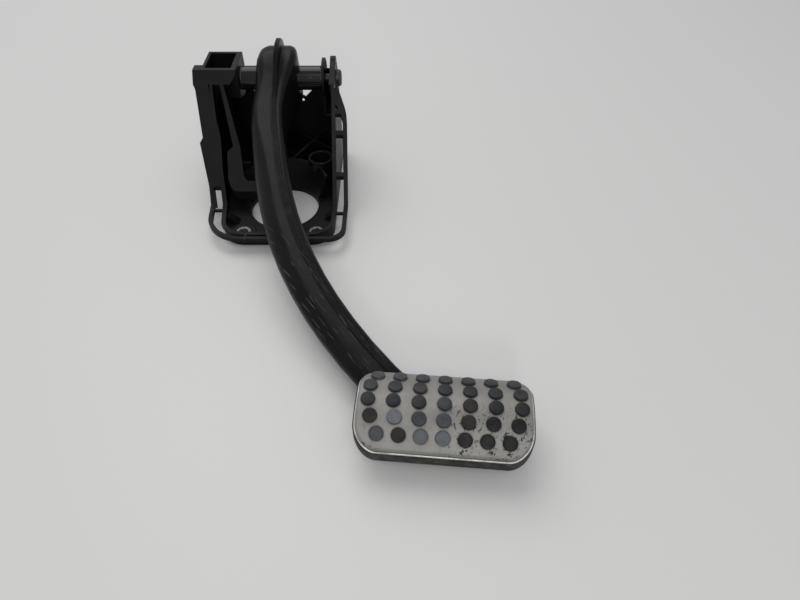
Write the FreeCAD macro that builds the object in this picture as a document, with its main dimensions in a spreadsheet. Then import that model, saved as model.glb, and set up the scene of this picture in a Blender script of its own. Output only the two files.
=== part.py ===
import FreeCAD, Part
import math
import os
import re

import Sketcher

# Brake pedal of a car with automatic gears, in millimetres.
# Origin: centre of the pushrod hole on the mounting face of the bracket's flange.
# +X runs along the pivot to the pad's side, +Y from the pad towards the pivot, +Z out of the flange.
# The pedal is modelled fully pressed, with its foot near the surface that the flange stands on.

Vector = FreeCAD.Vector

SIZES = {
    # Flange of the moulded bracket
    "hole_dia": 67.0,
    "plate": 5.0,
    "wall": 3.0,
    "flange_front": 53.0,
    "flange_back": 107.0,
    "flange_right": 52.0,
    "flange_left": 52.0,
    "flange_left_back": 74.0,
    "flange_corner": 22.0,
    # Stud holes, with their steel sleeves, bosses and socket towers
    "stud_row": 70.0,
    "stud_column": 80.0,
    "stud_bore": 9.0,
    "sleeve_wall": 2.5,
    "sleeve_height": 6.0,
    "boss_wall": 5.0,
    "boss_height": 5.6,
    "tower_bore": 20.0,
    "tower_wall": 2.5,
    "tower_height": 36.5,
    # Rim of the bracket, level at the front and then rising to the pivot
    "rim_height": 14.0,
    "rim_knee": 8.6,
    "top_front": 68.0,
    "top_height": 115.0,
    "bead": 4.0,
    "bead_front": 60.5,
    "bead_right": 64.0,
    "bead_left": 66.5,
    "bead_corner_left": 36.0,
    "bead_corner_right": 16.0,
    "bead_bend": 44.0,
    "bead_bend_radius": 16.0,
    "ear_front": 60.0,
    "web": 2.5,
    "lip": 1.2,
    "rim_rib": 2.5,
    "ear_rib": 45.0,
    "right_rib_back": 33.0,
    "right_rib_middle": 9.0,
    "right_rib_front": 21.5,
    "left_rib": 17.0,
    "nub_spread": 29.0,
    # Front strip and curled inner wall on the left
    "strip_foot": 72.0,
    "strip_step": 79.0,
    "strip_step_y": 27.0,
    "strip_width": 11.5,
    "curl_width": 13.0,
    "curl_front": 2.0,
    "curl_left": 53.0,
    "curl_reach": 18.0,
    "curl_back": 22.0,
    # Collar round the back of the pushrod hole and ribs behind it
    "collar_height": 32.0,
    "collar_flare": 9.5,
    "collar_sweep": 145.0,
    "collar_start": 18.0,
    "rib": 2.5,
    "rib_height": 30.0,
    "panel_height": 40.0,
    "gusset": 8.0,
    "left_gusset": 24.0,
    "right_gusset": 18.0,
    # Nut box at the left of the pivot, with its depths from the pivot's axis, and double ear at the right
    "box_left": 83.0,
    "box_depth": 13.0,
    "box_shelf": 10.0,
    "box_chamfer": 24.0,
    "pocket_width": 25.0,
    "pocket_length": 32.0,
    "pocket_depth": 9.0,
    "cheek_left": 42.0,
    "cheek_boss": 34.0,
    "cheek_right": 39.0,
    "lug": 2.5,
    "lug_radius": 19.0,
    "lug_drop": 34.0,
    "ear": 5.0,
    "ear_gap": 5.5,
    "ear_radius": 8.0,
    "ear_hole": 6.6,
    "ear_hole_back": 5.0,
    "ear_hole_rise": 11.5,
    "ear_sleeve_wall": 1.2,
    "notch_left": 27.0,
    "notch_right": 11.0,
    "notch_floor": 62.0,
    "notch_radius": 6.0,
    "notch_slope": 16.0,
    "eyelet_radius": 4.5,
    "eyelet_hole": 4.0,
    # Pivot, with bolt, distance tube, bushes and hub
    "pivot_y": 88.0,
    "pivot_z": 97.0,
    "bolt_dia": 8.0,
    "bolt_hole": 8.4,
    "bolt_head": 16.0,
    "bolt_head_height": 5.0,
    "bolt_tail": 4.0,
    "bolt_point": 1.0,
    "head_chamfer": 1.5,
    "nut_flats": 13.0,
    "nut_height": 6.5,
    "washer_dia": 16.0,
    "washer": 1.6,
    "spacer_dia": 13.0,
    "bush_wall": 2.5,
    "bush_length": 22.0,
    "bush_flange": 1.5,
    "bush_flange_dia": 22.0,
    "running_gap": 0.05,
    "side_gap": 0.3,
    "hub_wall": 2.5,
    # Pressed arm, from the pivot to the foot under the pad
    "head_x": 8.0,
    "head_lean": 4.2,
    "neck_lean": 2.4,
    "neck_place": 63.0,
    "lean_run": 30.0,
    "head_width": 39.5,
    "head_radius": 29.5,
    "arm_width": 30.0,
    "arm_depth": 44.0,
    "arm_foot_depth": 16.0,
    "arm_reach": 352.0,
    "arm_offset": 149.5,
    "foot_height": 10.0,
    "sheet": 2.0,
    "head_run": 24.6,
    "seam_fin": 12.0,
    "seam_bead": 1.2,
    "seam_shift": 7.0,
    "seam_gap": 0.1,
    "weld_gap": 0.1,
    # Pushrod pin and the slot for its clevis
    "pin_dia": 10.0,
    "pin_recess": 1.0,
    "clevis_width": 12.0,
    "clevis_length": 34.0,
    # Pad: support, plate, rubber and pierced cover
    "pad_shift": 3.8,
    "pad_back": 1.0,
    "pad_rise": 33.0,
    "pad_yaw": 5.0,
    "pad_tilt": 4.0,
    "pad_width": 118.0,
    "pad_height": 60.0,
    "pad_corner": 15.0,
    "pad_radius": 43.5,
    "cover": 0.8,
    "cover_edge": 1.6,
    "cover_lip": 4.0,
    "rubber": 5.2,
    "rubber_rim": 4.0,
    "rubber_depth": 12.0,
    "rubber_flare": 1.8,
    "lip_gap": 0.2,
    "pad_plate": 2.5,
    "arm_gap": 1.0,
    "support": 2.5,
    "support_gap": 0.3,
    "support_width": 20.0,
    "support_length": 15.0,
    "support_back": 5.0,
    "stud_dia": 9.4,
    "stud_height": 1.8,
    "stud_gap": 0.15,
    "stud_row_pitch": 11.6,
    "stud_row_middle": 103.5,
    "stud_row_front": 88.0,
    "stud_row_second": 98.5,
    "stud_row_fourth": 102.5,
    "stud_row_back": 95.0,
}

STUD_COLUMNS = 7
# Rise of the rim for each millimetre towards the pivot
RAMP = "(top_height - rim_height) / (top_front + rim_knee)"
# Centre of the fixing hole in the ear
EAR_Y = "pivot_y + ear_hole_back"
EAR_Z = "pivot_z + ear_hole_rise"
# Centre of the eyelet on the sloping edge of the back wall's notch
EYELET_X = "notch_right + eyelet_radius / 2"
EYELET_Z = "notch_floor + eyelet_radius / 2"

doc = FreeCAD.newDocument("brake_pedal")
sheet = doc.addObject("Spreadsheet::Sheet", "dim")
for row, (alias, value) in enumerate(SIZES.items(), start=1):
    sheet.set(f"A{row}", alias.replace("_", " "))
    sheet.set(f"B{row}", str(value))
    sheet.setAlias(f"B{row}", alias)
doc.recompute()

nodes = []


def bound(expression):
    """The expression with every size name pointed at its cell of the sheet."""
    return re.sub(r"[a-z_]+", lambda word: "dim." + word[0] if word[0] in SIZES else word[0], expression)


def number(expression):
    """The present value of an expression in size names."""
    return float(sheet.evalExpression(bound(expression)))


def rim_at(y):
    """Height of the rim above the mounting face at a place on its rise."""
    return f"rim_height + (({y}) + rim_knee) * {RAMP}"


def node(feature, name):
    """Names a finished sub-part and keeps it for the export."""
    feature.Label = name
    nodes.append(feature)
    return feature


def place(feature, x, y, z, rotation=FreeCAD.Rotation()):
    """Puts a feature at a point given in size names."""
    feature.Placement = FreeCAD.Placement(Vector(), rotation)
    for axis, expression in zip("xyz", (x, y, z)):
        feature.setExpression(f"Placement.Base.{axis}", bound(expression))
    return feature


ALONG_X = FreeCAD.Rotation(Vector(0, 0, 1), Vector(1, 0, 0))
ALONG_Y = FreeCAD.Rotation(Vector(0, 0, 1), Vector(0, 1, 0))
# Sketch plane, direction of extrusion and axis of the start, by plane name
PLANES = {
    "XY": (FreeCAD.Rotation(), Vector(0, 0, 1)),
    "YZ": (FreeCAD.Rotation(Vector(0, 1, 0), Vector(0, 0, 1), Vector(1, 0, 0)), Vector(1, 0, 0)),
    "XZ": (FreeCAD.Rotation(Vector(1, 0, 0), Vector(0, 0, 1), Vector(0, -1, 0)), Vector(0, 1, 0)),
}


def fix_point(sketch, geometry, end, corner):
    """Holds a sketch point at the place that its two expressions give."""
    for kind, axis, expression in (("DistanceX", -2, corner[0]), ("DistanceY", -1, corner[1])):
        if expression == "0":
            sketch.addConstraint(Sketcher.Constraint("PointOnObject", geometry, end, axis))
            continue
        held = Sketcher.Constraint(kind, -1, 1, geometry, end, number(expression))
        index = sketch.addConstraint(held)
        sketch.setExpression(f"Constraints[{index}]", bound(expression))


def draw(sketch, corners):
    """Closed outline through corners (x, y) or (x, y, radius), each an expression in size names."""
    spots = [Vector(number(corner[0]), number(corner[1]), 0) for corner in corners]
    count = len(corners)
    arcs = []
    for index, corner in enumerate(corners):
        spot = spots[index]
        if len(corner) == 2:
            arcs.append((spot, spot, None, None))
            continue
        radius = number(corner[2])
        back = (spots[index - 1] - spot).normalize()
        ahead = (spots[(index + 1) % count] - spot).normalize()
        half = back.getAngle(ahead) / 2
        bisector = (back + ahead).normalize()
        reach = radius / math.tan(half)
        nearest = spot + bisector * (radius / math.sin(half) - radius)
        start = spot + back * reach
        finish = spot + ahead * reach
        if (nearest - start).cross(finish - nearest).z > 0:
            arcs.append((start, finish, Part.Arc(start, nearest, finish), (1, 2)))
        else:
            arcs.append((start, finish, Part.Arc(finish, nearest, start), (2, 1)))
    lines = []
    for index in range(count):
        segment = Part.LineSegment(arcs[index][1], arcs[(index + 1) % count][0])
        lines.append(sketch.addGeometry(segment, False))
    for index, corner in enumerate(corners):
        before, after = lines[index - 1], lines[index]
        _, _, arc, ends = arcs[index]
        if arc is None:
            sketch.addConstraint(Sketcher.Constraint("Coincident", before, 2, after, 1))
            fix_point(sketch, after, 1, corner)
            continue
        bend = sketch.addGeometry(arc, False)
        sketch.addConstraint(Sketcher.Constraint("Tangent", before, 2, bend, ends[0]))
        sketch.addConstraint(Sketcher.Constraint("Tangent", bend, ends[1], after, 1))
        held = sketch.addConstraint(Sketcher.Constraint("Radius", bend, number(corner[2])))
        sketch.setExpression(f"Constraints[{held}]", bound(corner[2]))
        tip = sketch.addGeometry(Part.Point(spots[index]), True)
        fix_point(sketch, tip, 1, corner)
        sketch.addConstraint(Sketcher.Constraint("PointOnObject", tip, 1, before))
        sketch.addConstraint(Sketcher.Constraint("PointOnObject", tip, 1, after))
    return sketch


def prism(name, plane, start, length, corners):
    """Extrusion of an outline in one of the main planes, from a start along the plane's axis."""
    rotation, direction = PLANES[plane]
    sketch = doc.addObject("Sketcher::SketchObject", name + "_outline")
    draw(sketch, corners)
    place(sketch, *[start if part else "0" for part in direction], rotation)
    solid = doc.addObject("Part::Extrusion", name)
    solid.Base = sketch
    solid.DirMode = "Custom"
    solid.Dir = direction
    solid.Solid = True
    solid.setExpression("LengthFwd", bound(length))
    return solid


def drum(name, x, y, z, radius, height, rotation=FreeCAD.Rotation()):
    """Cylinder whose base circle is centred at a point given in size names."""
    solid = doc.addObject("Part::Cylinder", name)
    solid.setExpression("Radius", bound(radius))
    solid.setExpression("Height", bound(height))
    return place(solid, x, y, z, rotation)


def fuse(name, *shapes):
    solid = doc.addObject("Part::MultiFuse", name)
    solid.Shapes = list(shapes)
    solid.Refine = True
    return solid


def cut(name, base, tool):
    solid = doc.addObject("Part::Cut", name)
    solid.Base = base
    solid.Tool = tool
    return solid


def common(name, base, tool):
    solid = doc.addObject("Part::Common", name)
    solid.Base = base
    solid.Tool = tool
    return solid


def body_sketch(body, role, name, corners):
    """Sketch on one of a body's own origin planes."""
    sketch = body.newObject("Sketcher::SketchObject", name)
    plane = [feature for feature in body.Origin.OriginFeatures if feature.Role == role][0]
    sketch.AttachmentSupport = [(plane, "")]
    sketch.MapMode = "FlatFace"
    return draw(sketch, corners)


def turned(name, corners):
    """Body revolved about its own Z axis from a profile of (radius, height) corners."""
    body = doc.addObject("PartDesign::Body", name)
    sketch = body_sketch(body, "XZ_Plane", name + "_profile", corners)
    revolution = body.newObject("PartDesign::Revolution", name + "_turning")
    revolution.Profile = sketch
    revolution.ReferenceAxis = (sketch, ["V_Axis"])
    revolution.Angle = 360
    return node(body, name)


def ring(name, inner, outer, length):
    """Plain turned ring or tube."""
    return turned(name, [(inner, "0"), (outer, "0"), (outer, length), (inner, length)])


def rim_band(name, depth):
    """Slab that follows the rim: level in front of the knee, then rising towards the pivot."""
    return prism(name, "YZ", "-2 * box_left", "4 * box_left", [
        ("-2 * bead_front", "rim_height"),
        ("-rim_knee", "rim_height"),
        ("top_front", "top_height"),
        (f"top_front + ({depth}) / 2", f"top_height - ({depth})"),
        (f"({depth}) / 2 - rim_knee", f"rim_height - ({depth})"),
        ("-2 * bead_front", f"rim_height - ({depth})"),
    ])


def bracket_tub():
    """Flange plate with its side walls, cut to the rim, and the notched back wall."""
    plate_corners = [
        ("-flange_left", "-flange_front", "flange_corner"),
        ("flange_right", "-flange_front", "flange_corner"),
        ("flange_right", "flange_back"),
        ("-flange_left_back", "flange_back"),
    ]
    inner_corners = [
        ("wall - flange_left", "wall - flange_front", "flange_corner - wall"),
        ("flange_right - wall", "wall - flange_front", "flange_corner - wall"),
        ("flange_right - wall", "flange_back - wall"),
        ("wall - flange_left_back", "flange_back - wall"),
    ]
    flange = prism("flange", "XY", "0", "plate", plate_corners)
    block = prism("tub_block", "XY", "0", "top_height + plate", plate_corners)
    inside = prism("tub_inside", "XY", "-plate", "top_height + 3 * plate", inner_corners)
    walls = cut("tub_walls", block, inside)
    front = "-2 * flange_front"
    left_side = prism("left_side", "YZ", "-2 * box_left", "2 * box_left", [
        (front, "0"), (front, "rim_height"), ("-rim_knee", "rim_height"),
        ("top_front", "top_height"), ("flange_back", "top_height"), ("flange_back", "0"),
    ])
    right_side = prism("right_side", "YZ", "0", "2 * box_left", [
        (front, "0"), (front, "rim_height"), ("-rim_knee", "rim_height"), ("ear_front", rim_at("ear_front")),
        (EAR_Y, EAR_Z), ("flange_back", "pivot_z"), ("flange_back", "0"),
    ])
    sides = fuse("sides", left_side, right_side)
    trimmed = common("trimmed_walls", walls, sides)
    notch = prism("notch", "XZ", "flange_back - 2 * wall", "4 * wall", [
        ("-cheek_left", "top_height + plate"), ("-cheek_left", "pivot_z - cheek_boss / 2"),
        ("-notch_left", "notch_floor", "notch_radius"),
        ("notch_right", "notch_floor", "notch_radius"), ("notch_right + notch_slope", "pivot_z - lug_radius"),
        ("notch_right + notch_slope", "top_height + plate"),
    ])
    return fuse("tub", flange, cut("notched_walls", trimmed, notch))


def rim_outline(inset):
    """Outline of the bead, moved in by an inset, from the strip's foot round the front to the ear's bend."""
    return [
        (f"{inset} - strip_foot", "curl_front"),
        (f"{inset} - bead_left", f"{inset} - bead_front", f"bead_corner_left - {inset}"),
        (f"bead_right - {inset}", f"{inset} - bead_front", f"bead_corner_right - {inset}"),
        (f"bead_right - {inset}", f"bead_bend - {inset} / 2", f"bead_bend_radius - {inset}"),
    ]


def bracket_rim():
    """Outer bead round the flange, joined to the walls by short ribs with open windows between them."""
    bead_ring = prism("bead_ring", "XY", "0", "top_height", rim_outline("0") + [
        ("flange_right + wall", "ear_front"), ("flange_right - wall / 2", "ear_front - bead"),
    ] + rim_outline("bead")[::-1])
    bead = common("rim_bead", bead_ring, rim_band("bead_band", "bead"))
    web_ring = prism("web_ring", "XY", "0", "top_height", rim_outline("bead / 2") + [
        ("flange_right + wall / 2", "ear_front - bead / 2"),
        ("flange_right - wall / 2", "ear_front - bead / 2"),
        ("flange_right - wall / 2", "wall / 2 - flange_front", "flange_corner - wall / 2"),
        ("wall / 2 - flange_left", "wall / 2 - flange_front", "flange_corner - wall / 2"),
        ("-flange_left - 2 * wall", "curl_front"),
    ])
    web = common("rim_web", web_ring, rim_band("web_band", "web"))
    between = prism("inside_bead", "XY", "0", "2 * top_height", rim_outline("bead") + [
        ("flange_right - wall / 2", "ear_front - 2 * bead"),
    ])
    kept = [prism("wall_lip", "XY", "-plate", "4 * top_height", [
        ("-flange_left - lip", "-flange_front - lip", "flange_corner + lip"),
        ("flange_right + lip", "-flange_front - lip", "flange_corner + lip"),
        ("flange_right + lip", "flange_back"), ("-flange_left_back - lip", "flange_back"),
    ])]
    across = (("ear_rib", "ear_rib", "bead_right"), ("right_rib_back", "right_rib_back", "bead_right"),
              ("right_rib_middle", "right_rib_middle", "bead_right"),
              ("right_rib_front", "-right_rib_front", "bead_right"), ("left_rib", "-left_rib", "-bead_left"))
    for name, y, x in across:
        low, high = f"{y} - rim_rib / 2", f"{y} + rim_rib / 2"
        corners = [("0", low), (x, low), (x, high), ("0", high)]
        kept.append(prism(name + "_bar", "XY", "-plate", "4 * top_height", corners))
    nubs = []
    for index, x in enumerate(("-nub_spread", "0", "nub_spread")):
        left, right = f"{x} - rim_rib / 2", f"{x} + rim_rib / 2"
        corners = [(left, "-bead_front"), (right, "-bead_front"), (right, "0"), (left, "0")]
        kept.append(prism(f"front_rib_{index + 1}_bar", "XY", "-plate", "4 * top_height", corners))
        if x != "0":
            nubs.append(drum(f"front_nub_{index + 1}", x, "bead / 4 - bead_front", "rim_height - bead",
                             "bead / 2", "bead"))
    windows = cut("windows", between, fuse("kept_between_windows", *kept))
    return fuse("rim", bead, cut("open_web", web, windows), *nubs)


def bracket_strip():
    """Broad front strip on the left, with its skirt, and the curled inner wall beside it."""
    outer_low = ("-strip_foot", "curl_front")
    step_in = "wall - strip_step"
    step_end = "strip_step_y + wall"
    strip_plan = prism("strip_plan", "XY", "0", "2 * top_height", [
        outer_low,
        ("-strip_step", "strip_step_y"),
        (step_in, step_end),
        ("-box_left", "top_front"),
        ("strip_width - box_left", "top_front"),
        ("strip_width + 3 * wall - strip_step", step_end),
        ("strip_width + wall - strip_foot", "curl_front"),
    ])
    strip = common("strip", strip_plan, rim_band("strip_band", "wall"))
    skirt_plan = prism("skirt_plan", "XY", "0", "2 * top_height", [
        outer_low,
        ("-strip_step", "strip_step_y"),
        (step_in, step_end),
        ("-box_left", "top_front"),
        ("wall - box_left", "top_front"),
        ("2 * wall - strip_step", step_end),
        ("wall - strip_foot", "curl_front"),
    ])
    skirt = common("strip_skirt", skirt_plan, rim_band("skirt_band", "4 * bead"))
    curl_end = "curl_back + wall"
    curl_plan = prism("curl_plan", "XY", "0", "2 * top_height", [
        ("-curl_left - 2 * wall", "top_front - wall"),
        ("2 * wall - curl_left", curl_end),
        ("-curl_left", "curl_back"),
        ("-curl_left", "curl_front - wall", "3 * wall"),
        ("-curl_reach", "curl_front - wall"),
        ("-curl_reach", "curl_front + wall"),
        ("curl_width + wall - curl_left", "curl_front + wall", "2 * wall"),
        ("curl_width - curl_left", curl_end),
        ("-curl_left - wall", "top_front - wall"),
    ])
    curl = common("curl", curl_plan, rim_band("curl_band", "2 * wall"))
    spine_end = "-hole_dia / 2 - wall / 2"
    spine_plan = prism("curl_spine_plan", "XY", "plate", "2 * top_height", [
        ("-curl_left - 2 * wall", "top_front - wall"),
        ("3 * wall - curl_left", curl_end),
        ("3 * wall - curl_left", "curl_front", "2 * wall"),
        (spine_end, "curl_front"),
        (spine_end, "curl_front + wall"),
        ("4 * wall - curl_left", "curl_front + wall", "wall"),
        ("4 * wall - curl_left", curl_end),
        ("-curl_left - wall", "top_front - wall"),
    ])
    low = "rim_height - wall / 2"
    high = "top_height - wall / 2"
    under = prism("curl_under", "YZ", "-2 * box_left", "2 * box_left", [
        ("-2 * flange_front", "0"), ("-2 * flange_front", low), ("-rim_knee", low),
        ("top_front", high), ("flange_back", high), ("flange_back", "0"),
    ])
    spine = common("curl_spine", spine_plan, under)
    return fuse("left_side_forms", strip, skirt, curl, spine)


def bracket_collar():
    """Flared collar behind the pushrod hole, bosses and towers at the studs, and crossed ribs."""
    collar = doc.addObject("PartDesign::Body", "collar")
    sketch = body_sketch(collar, "XZ_Plane", "collar_profile", [
        ("hole_dia / 2", "0"),
        ("hole_dia / 2 + wall", "0"),
        ("hole_dia / 2 + collar_flare + wall", "collar_height"),
        ("hole_dia / 2 + collar_flare", "collar_height"),
        ("hole_dia / 2", "plate"),
    ])
    turning = collar.newObject("PartDesign::Revolution", "collar_turning")
    turning.Profile = sketch
    turning.ReferenceAxis = (sketch, ["V_Axis"])
    turning.setExpression("Angle", bound("collar_sweep"))
    place(collar, "0", "0", "0", FreeCAD.Rotation(Vector(0, 0, 1), number("collar_start")))
    pieces = [collar]
    for index, (side, end) in enumerate((("-", "-"), ("", "-"), ("-", ""), ("", ""))):
        x = f"{side}stud_row / 2"
        y = f"{end}stud_column / 2"
        pieces.append(drum(f"boss_{index + 1}", x, y, "0",
                           "stud_bore / 2 + sleeve_wall + boss_wall", "boss_height"))
        if side == end == "":
            shell = drum(f"tower_shell_{index + 1}", x, y, "0", "tower_bore / 2 + tower_wall", "tower_height")
            well = drum(f"tower_well_{index + 1}", x, y, "boss_height", "tower_bore / 2", "tower_height")
            pieces.append(cut(f"tower_{index + 1}", shell, well))
    panel = "curl_back + wall"
    pieces.append(prism("left_panel", "XY", "0", "panel_height", [
        ("wall - curl_left", panel), ("-hole_dia / 2", panel),
        ("-hole_dia / 2", f"{panel} + rib"), ("wall - curl_left", f"{panel} + rib"),
    ]))
    back = "flange_back - wall / 2"
    right = "flange_right - wall / 2"
    crossing = (
        ("right_rib_long", "-rib", back, right, "ear_front"),
        ("right_rib_short", "rib", "hole_dia / 2 + collar_flare", "stud_row / 2", back),
        ("left_rib_long", "-4 * rib", back, "-stud_row / 2 - rib", "ear_front"),
    )
    for name, x0, y0, x1, y1 in crossing:
        pieces.append(prism(name, "XY", "0", "rib_height", [
            (f"{x0} - rib / 2", y0), (f"{x0} + rib / 2", y0),
            (f"{x1} + rib / 2", y1), (f"{x1} - rib / 2", y1),
        ]))
    for name, x, y, side in (("left_facet", "-flange_left + wall", "-left_gusset", "1"),
                             ("right_facet", "flange_right - wall", "-right_gusset", "-1")):
        pieces.append(prism(name, "XZ", f"{y} - bead", "2 * bead", [
            (f"{x} - {side} * wall / 2", "0"), (f"{x} + {side} * gusset", "plate"),
            (f"{x} - {side} * wall / 2", "rim_height"),
        ]))
    return fuse("floor_forms", *pieces)


def bracket_cheeks():
    """Nut box at the left of the pivot and the double ear at its right."""
    right = "-cheek_left"
    box_block = prism("box_block", "YZ", "-box_left", "box_left - cheek_left", [
        ("top_front - 2 * bead", rim_at("top_front - 2 * bead")), ("top_front", "top_height"),
        ("flange_back", "top_height"), ("flange_back", "pivot_z - box_depth"),
        ("top_front", "pivot_z - box_depth"),
    ])
    box_bottom = "pivot_z - box_depth - wall"
    chamfer = prism("box_chamfer_cut", "XZ", "0", "pivot_y - cheek_boss / 2", [
        (f"{right} - box_chamfer", box_bottom), (f"{right} + wall", box_bottom),
        (f"{right} + wall", "top_height"),
    ])
    behind_strip = prism("behind_strip", "XY", "0", "2 * top_height", [
        ("-2 * box_left", "top_front + box_shelf"),
        ("-cheek_left - plate - pocket_width - wall", "top_front + box_shelf"),
        ("-cheek_left - plate - pocket_width - wall", "2 * flange_back"),
        ("-2 * box_left", "2 * flange_back"),
    ])
    boss = drum("cheek_boss_drum", f"{right} - wall", "pivot_y", "pivot_z", "cheek_boss / 2", "wall", ALONG_X)
    box = fuse("box_outside", cut("box_chamfered", box_block, fuse("box_cuts", chamfer, behind_strip)), boss)
    lug_front = "pivot_y - lug_radius + wall"
    lug_back = "flange_back - wall / 2"
    lug_low = "pivot_z - lug_drop"
    lug_disc = drum("lug_disc", "cheek_right", "pivot_y", "pivot_z", "lug_radius", "lug", ALONG_X)
    lug_leg = prism("lug_leg", "YZ", "cheek_right", "lug", [
        (lug_front, lug_low), (lug_back, lug_low), (lug_back, "pivot_z"), (lug_front, "pivot_z"),
    ])
    shelf = prism("lug_shelf", "YZ", "cheek_right", "flange_right - wall / 2 - cheek_right", [
        (lug_front, lug_low), (lug_back, lug_low),
        (lug_back, f"{lug_low} + wall"), (lug_front, f"{lug_low} + wall"),
    ])
    ear_x = "cheek_right + lug + ear_gap"
    ear_plate = prism("ear_plate", "YZ", ear_x, "ear", [
        ("ear_front", rim_at("ear_front") + " - 2 * bead"), ("ear_front", rim_at("ear_front")),
        (EAR_Y, f"{EAR_Z} + ear_radius"), (f"{EAR_Y} + ear_radius", EAR_Z),
        ("flange_back", "pivot_z"), ("flange_back", lug_low), ("pivot_y - lug_radius / 2", lug_low),
    ])
    ear_disc = drum("ear_disc", ear_x, EAR_Y, EAR_Z, "ear_radius", "ear", ALONG_X)
    eyelet = drum("eyelet_disc", EYELET_X, "flange_back - wall", EYELET_Z, "eyelet_radius", "wall", ALONG_Y)
    return fuse("cheeks", box, lug_disc, lug_leg, shelf, ear_plate, ear_disc, eyelet)


def pedal_bracket():
    """The whole moulding, with its nut pocket and bores cut last."""
    moulding = fuse("moulding", bracket_tub(), bracket_rim(), bracket_strip(),
                    bracket_collar(), bracket_cheeks())
    bores = [drum("pushrod_bore", "0", "0", "-plate", "hole_dia / 2", "2 * plate")]
    for index, (side, end) in enumerate((("-", "-"), ("", "-"), ("-", ""), ("", ""))):
        bores.append(drum(f"stud_bore_{index + 1}", f"{side}stud_row / 2", f"{end}stud_column / 2", "-plate",
                          "stud_bore / 2 + sleeve_wall", "plate + boss_height + tower_height"))
    bores.append(drum("pivot_bore", "-cheek_left - 2 * plate", "pivot_y", "pivot_z", "bolt_hole / 2",
                      "2 * box_left", ALONG_X))
    bores.append(drum("ear_bore", "0", EAR_Y, EAR_Z, "ear_hole / 2 + ear_sleeve_wall", "box_left", ALONG_X))
    bores.append(drum("eyelet_bore", EYELET_X, "flange_back - 2 * wall", EYELET_Z, "eyelet_hole / 2",
                      "3 * wall", ALONG_Y))
    pocket_right = "-cheek_left - plate"
    pocket_left = f"{pocket_right} - pocket_width"
    pocket_front = "pivot_y - pocket_length / 2"
    pocket_back = "pivot_y + pocket_length / 2"
    bores.append(prism("nut_pocket", "XY", "pivot_z - pocket_depth", "top_height", [
        (pocket_left, pocket_front), (pocket_right, pocket_front),
        (pocket_right, pocket_back), (pocket_left, pocket_back),
    ]))
    return node(cut("pedal_bracket", moulding, fuse("bores", *bores)), "pedal_bracket")


def flange_sleeves():
    """Steel sleeves that carry the stud nuts' load past the moulding."""
    for name, side, end in (("sleeve_front_left", "-", "-"), ("sleeve_front_right", "", "-"),
                            ("sleeve_rear_left", "-", ""), ("sleeve_rear_right", "", "")):
        sleeve = ring(name, "stud_bore / 2", "stud_bore / 2 + sleeve_wall", "sleeve_height")
        place(sleeve, f"{side}stud_row / 2", f"{end}stud_column / 2", "0")
    sleeve = ring("ear_sleeve", "ear_hole / 2", "ear_hole / 2 + ear_sleeve_wall", "ear")
    place(sleeve, "cheek_right + lug + ear_gap", EAR_Y, EAR_Z, ALONG_X)


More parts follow.
